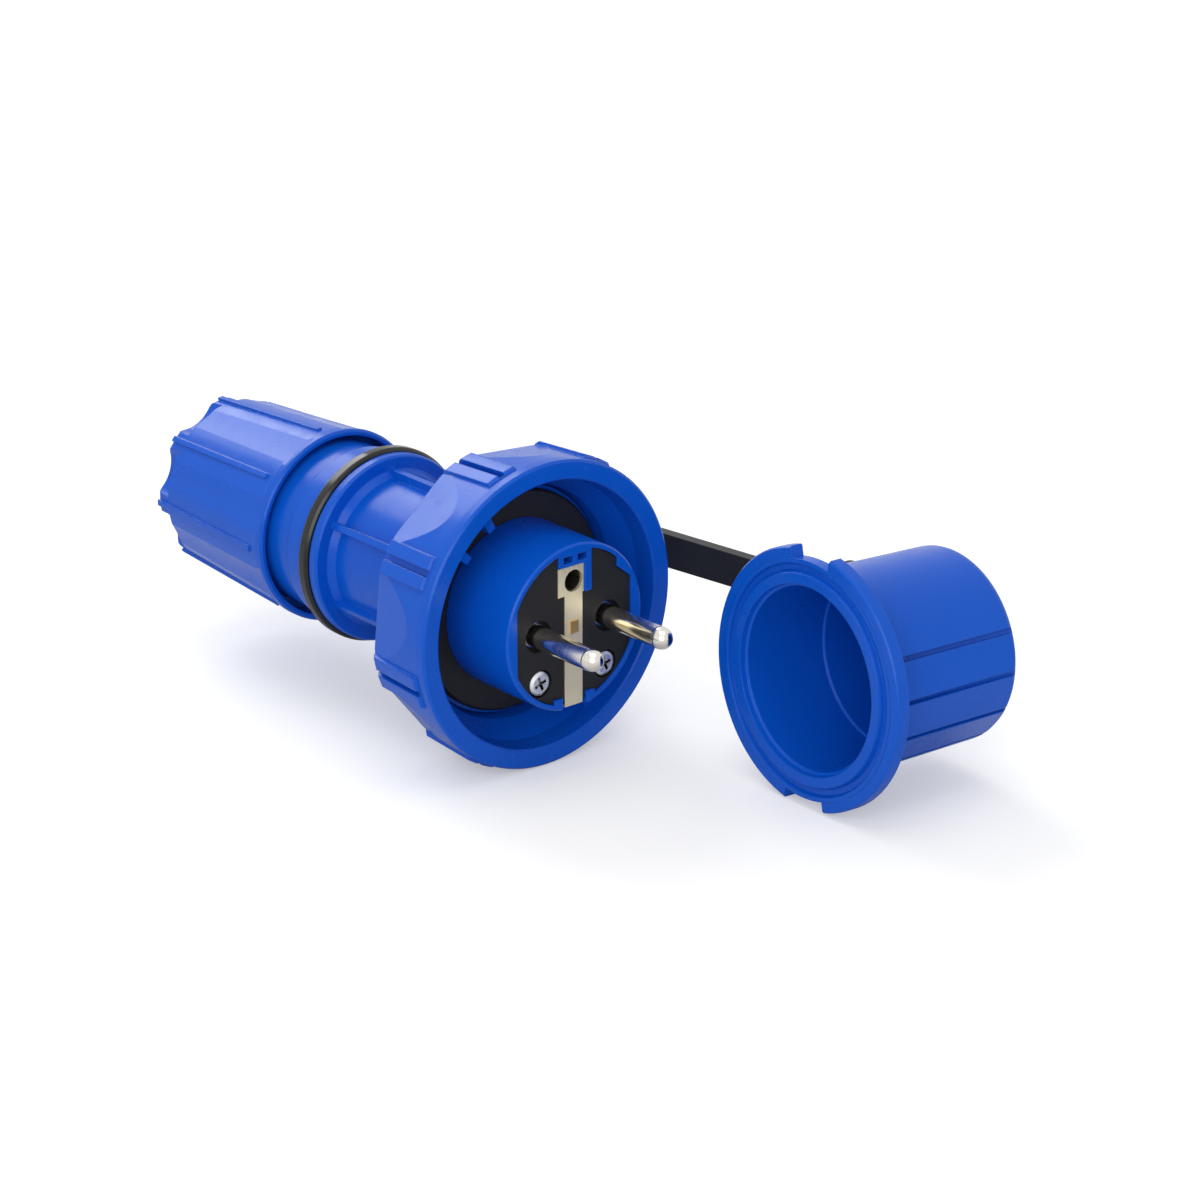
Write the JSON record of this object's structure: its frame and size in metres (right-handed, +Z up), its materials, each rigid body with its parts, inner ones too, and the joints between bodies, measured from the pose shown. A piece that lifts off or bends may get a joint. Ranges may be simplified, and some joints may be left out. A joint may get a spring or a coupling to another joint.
{
  "type": "watertight earthed power plug with bayonet collar and tethered cap",
  "caption": "Blue watertight two-pin earthed plug with a turning bayonet collar, a ribbed barrel, a cable gland and a protective cap on a rubber strap.",
  "frame": {"origin": "centre of the nose's front edge, on the plug's axis", "axes": "+X along the plug's axis towards the pins, +Y towards the side that the cap lies on, +Z up from the line pins to the earth socket"},
  "size_m": [0.1913, 0.1029, 0.0682],
  "materials": {
    "blue_plastic": "moulded, satin gloss",
    "black_plastic": "moulded, matte",
    "black_rubber": "smooth rubber",
    "plated_brass": "nickel plated",
    "bare_brass": "turned",
    "zinc_steel": "zinc plated"
  },
  "bodies": {
    "plug": {"housing": "blue_plastic", "face_gasket": "black_rubber", "contact_carrier": "black_plastic", "carrier_cover": "black_plastic", "line_pin": "plated_brass", "neutral_pin": "plated_brass", "earth_strip": "plated_brass", "earth_rivet": "bare_brass", "earth_socket": "bare_brass", "left_carrier_screw": "zinc_steel", "right_carrier_screw": "zinc_steel", "line_terminal_screw": "zinc_steel", "neutral_terminal_screw": "zinc_steel", "earth_terminal_screw": "zinc_steel", "cable_seal": "black_rubber", "clamp_cage": "black_plastic"},
    "collar": {"locking_collar": "blue_plastic"},
    "slip_ring": {"slip_ring": "zinc_steel"},
    "nut": {"gland_nut": "blue_plastic"},
    "tether": {"tether_ring": "black_rubber", "tether_strap": "black_rubber"},
    "cap": {"cap": "blue_plastic"}
  },
  "joints": [
    {"name": "collar_turn", "type": "hinge", "parent": "plug", "child": "collar", "pos_m": [-0.0255, 0, 0], "axis": [1, 0, 0], "range_deg": [0, 60]},
    {"name": "nut_advance", "type": "slide", "parent": "plug", "child": "slip_ring", "axis": [-1, 0, 0], "range_m": [0, 0.006]},
    {"name": "nut_turn", "type": "hinge", "parent": "slip_ring", "child": "nut", "pos_m": [-0.1, 0, 0], "axis": [-1, 0, 0], "range_deg": [0, 1080]},
    {"name": "tether_swivel", "type": "hinge", "parent": "plug", "child": "tether", "pos_m": [-0.0653, 0, 0], "axis": [1, 0, 0], "continuous": true},
    {"name": "cap_pivot", "type": "hinge", "parent": "tether", "child": "cap", "pos_m": [0.0193, 0.0605, 0], "axis": [1, 0, 0], "continuous": true}
  ],
  "couplings": [
    {"joint": "nut_advance", "follows": "nut_turn", "m_per_rad": 0.00031831}
  ]
}
